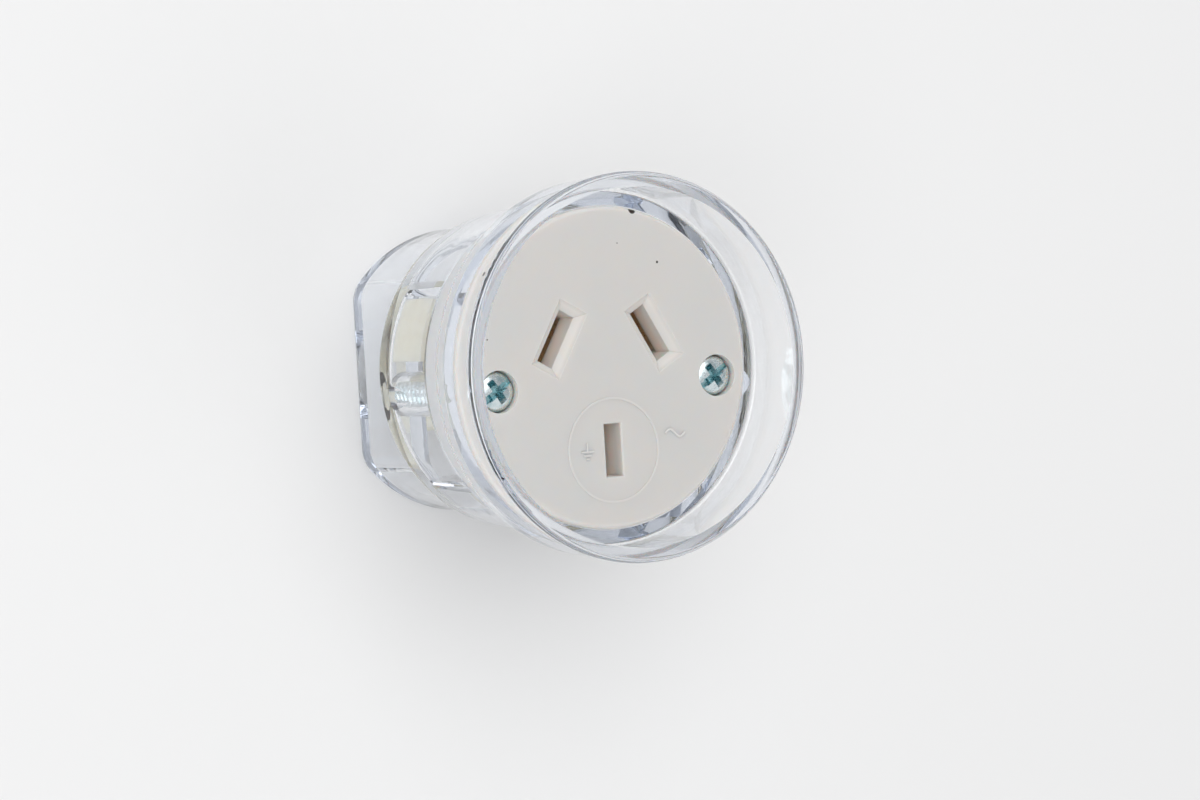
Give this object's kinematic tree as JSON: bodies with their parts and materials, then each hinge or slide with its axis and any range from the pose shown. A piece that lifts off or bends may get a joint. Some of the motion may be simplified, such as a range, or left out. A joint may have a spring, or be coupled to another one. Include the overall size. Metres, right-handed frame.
{
  "type": "inline socket connector",
  "caption": "Clear round cord extension socket with a shrouded slotted insert for flat pins, fixing screws and a flatted tail with a cord inlet.",
  "frame": {"origin": "centre of the tail's flat end face, on the axis of the cord inlet", "axes": "+Z along the socket axis from the tail to the open rim, +Y away from the earth slot, +X to the right as seen from the front"},
  "size_m": [0.0484, 0.0484, 0.0484],
  "materials": {
    "clear_plastic": "clear polished polycarbonate",
    "insert_plastic": "satin warm grey moulding",
    "retainer_plastic": "satin cream moulding",
    "contact_brass": "bright pressed strip",
    "terminal_brass": "machined",
    "zinc_screw": "clear blue zinc plate"
  },
  "bodies": {
    "root": {"clear_housing": "clear_plastic", "socket_insert": "insert_plastic", "contact_retainer": "retainer_plastic", "retainer_screw": "zinc_screw", "cord_clamp_bar": "retainer_plastic", "fixing_screw_left": "zinc_screw", "clamp_screw_left": "zinc_screw", "fixing_screw_right": "zinc_screw", "clamp_screw_right": "zinc_screw", "active_contact": "contact_brass", "active_terminal": "terminal_brass", "active_terminal_screw": "zinc_screw", "active_rivet": "terminal_brass", "neutral_contact": "contact_brass", "neutral_terminal": "terminal_brass", "neutral_terminal_screw": "zinc_screw", "neutral_rivet": "terminal_brass", "earth_contact": "contact_brass", "earth_terminal": "terminal_brass", "earth_terminal_screw": "zinc_screw", "earth_rivet": "terminal_brass"}
  },
  "joints": []
}
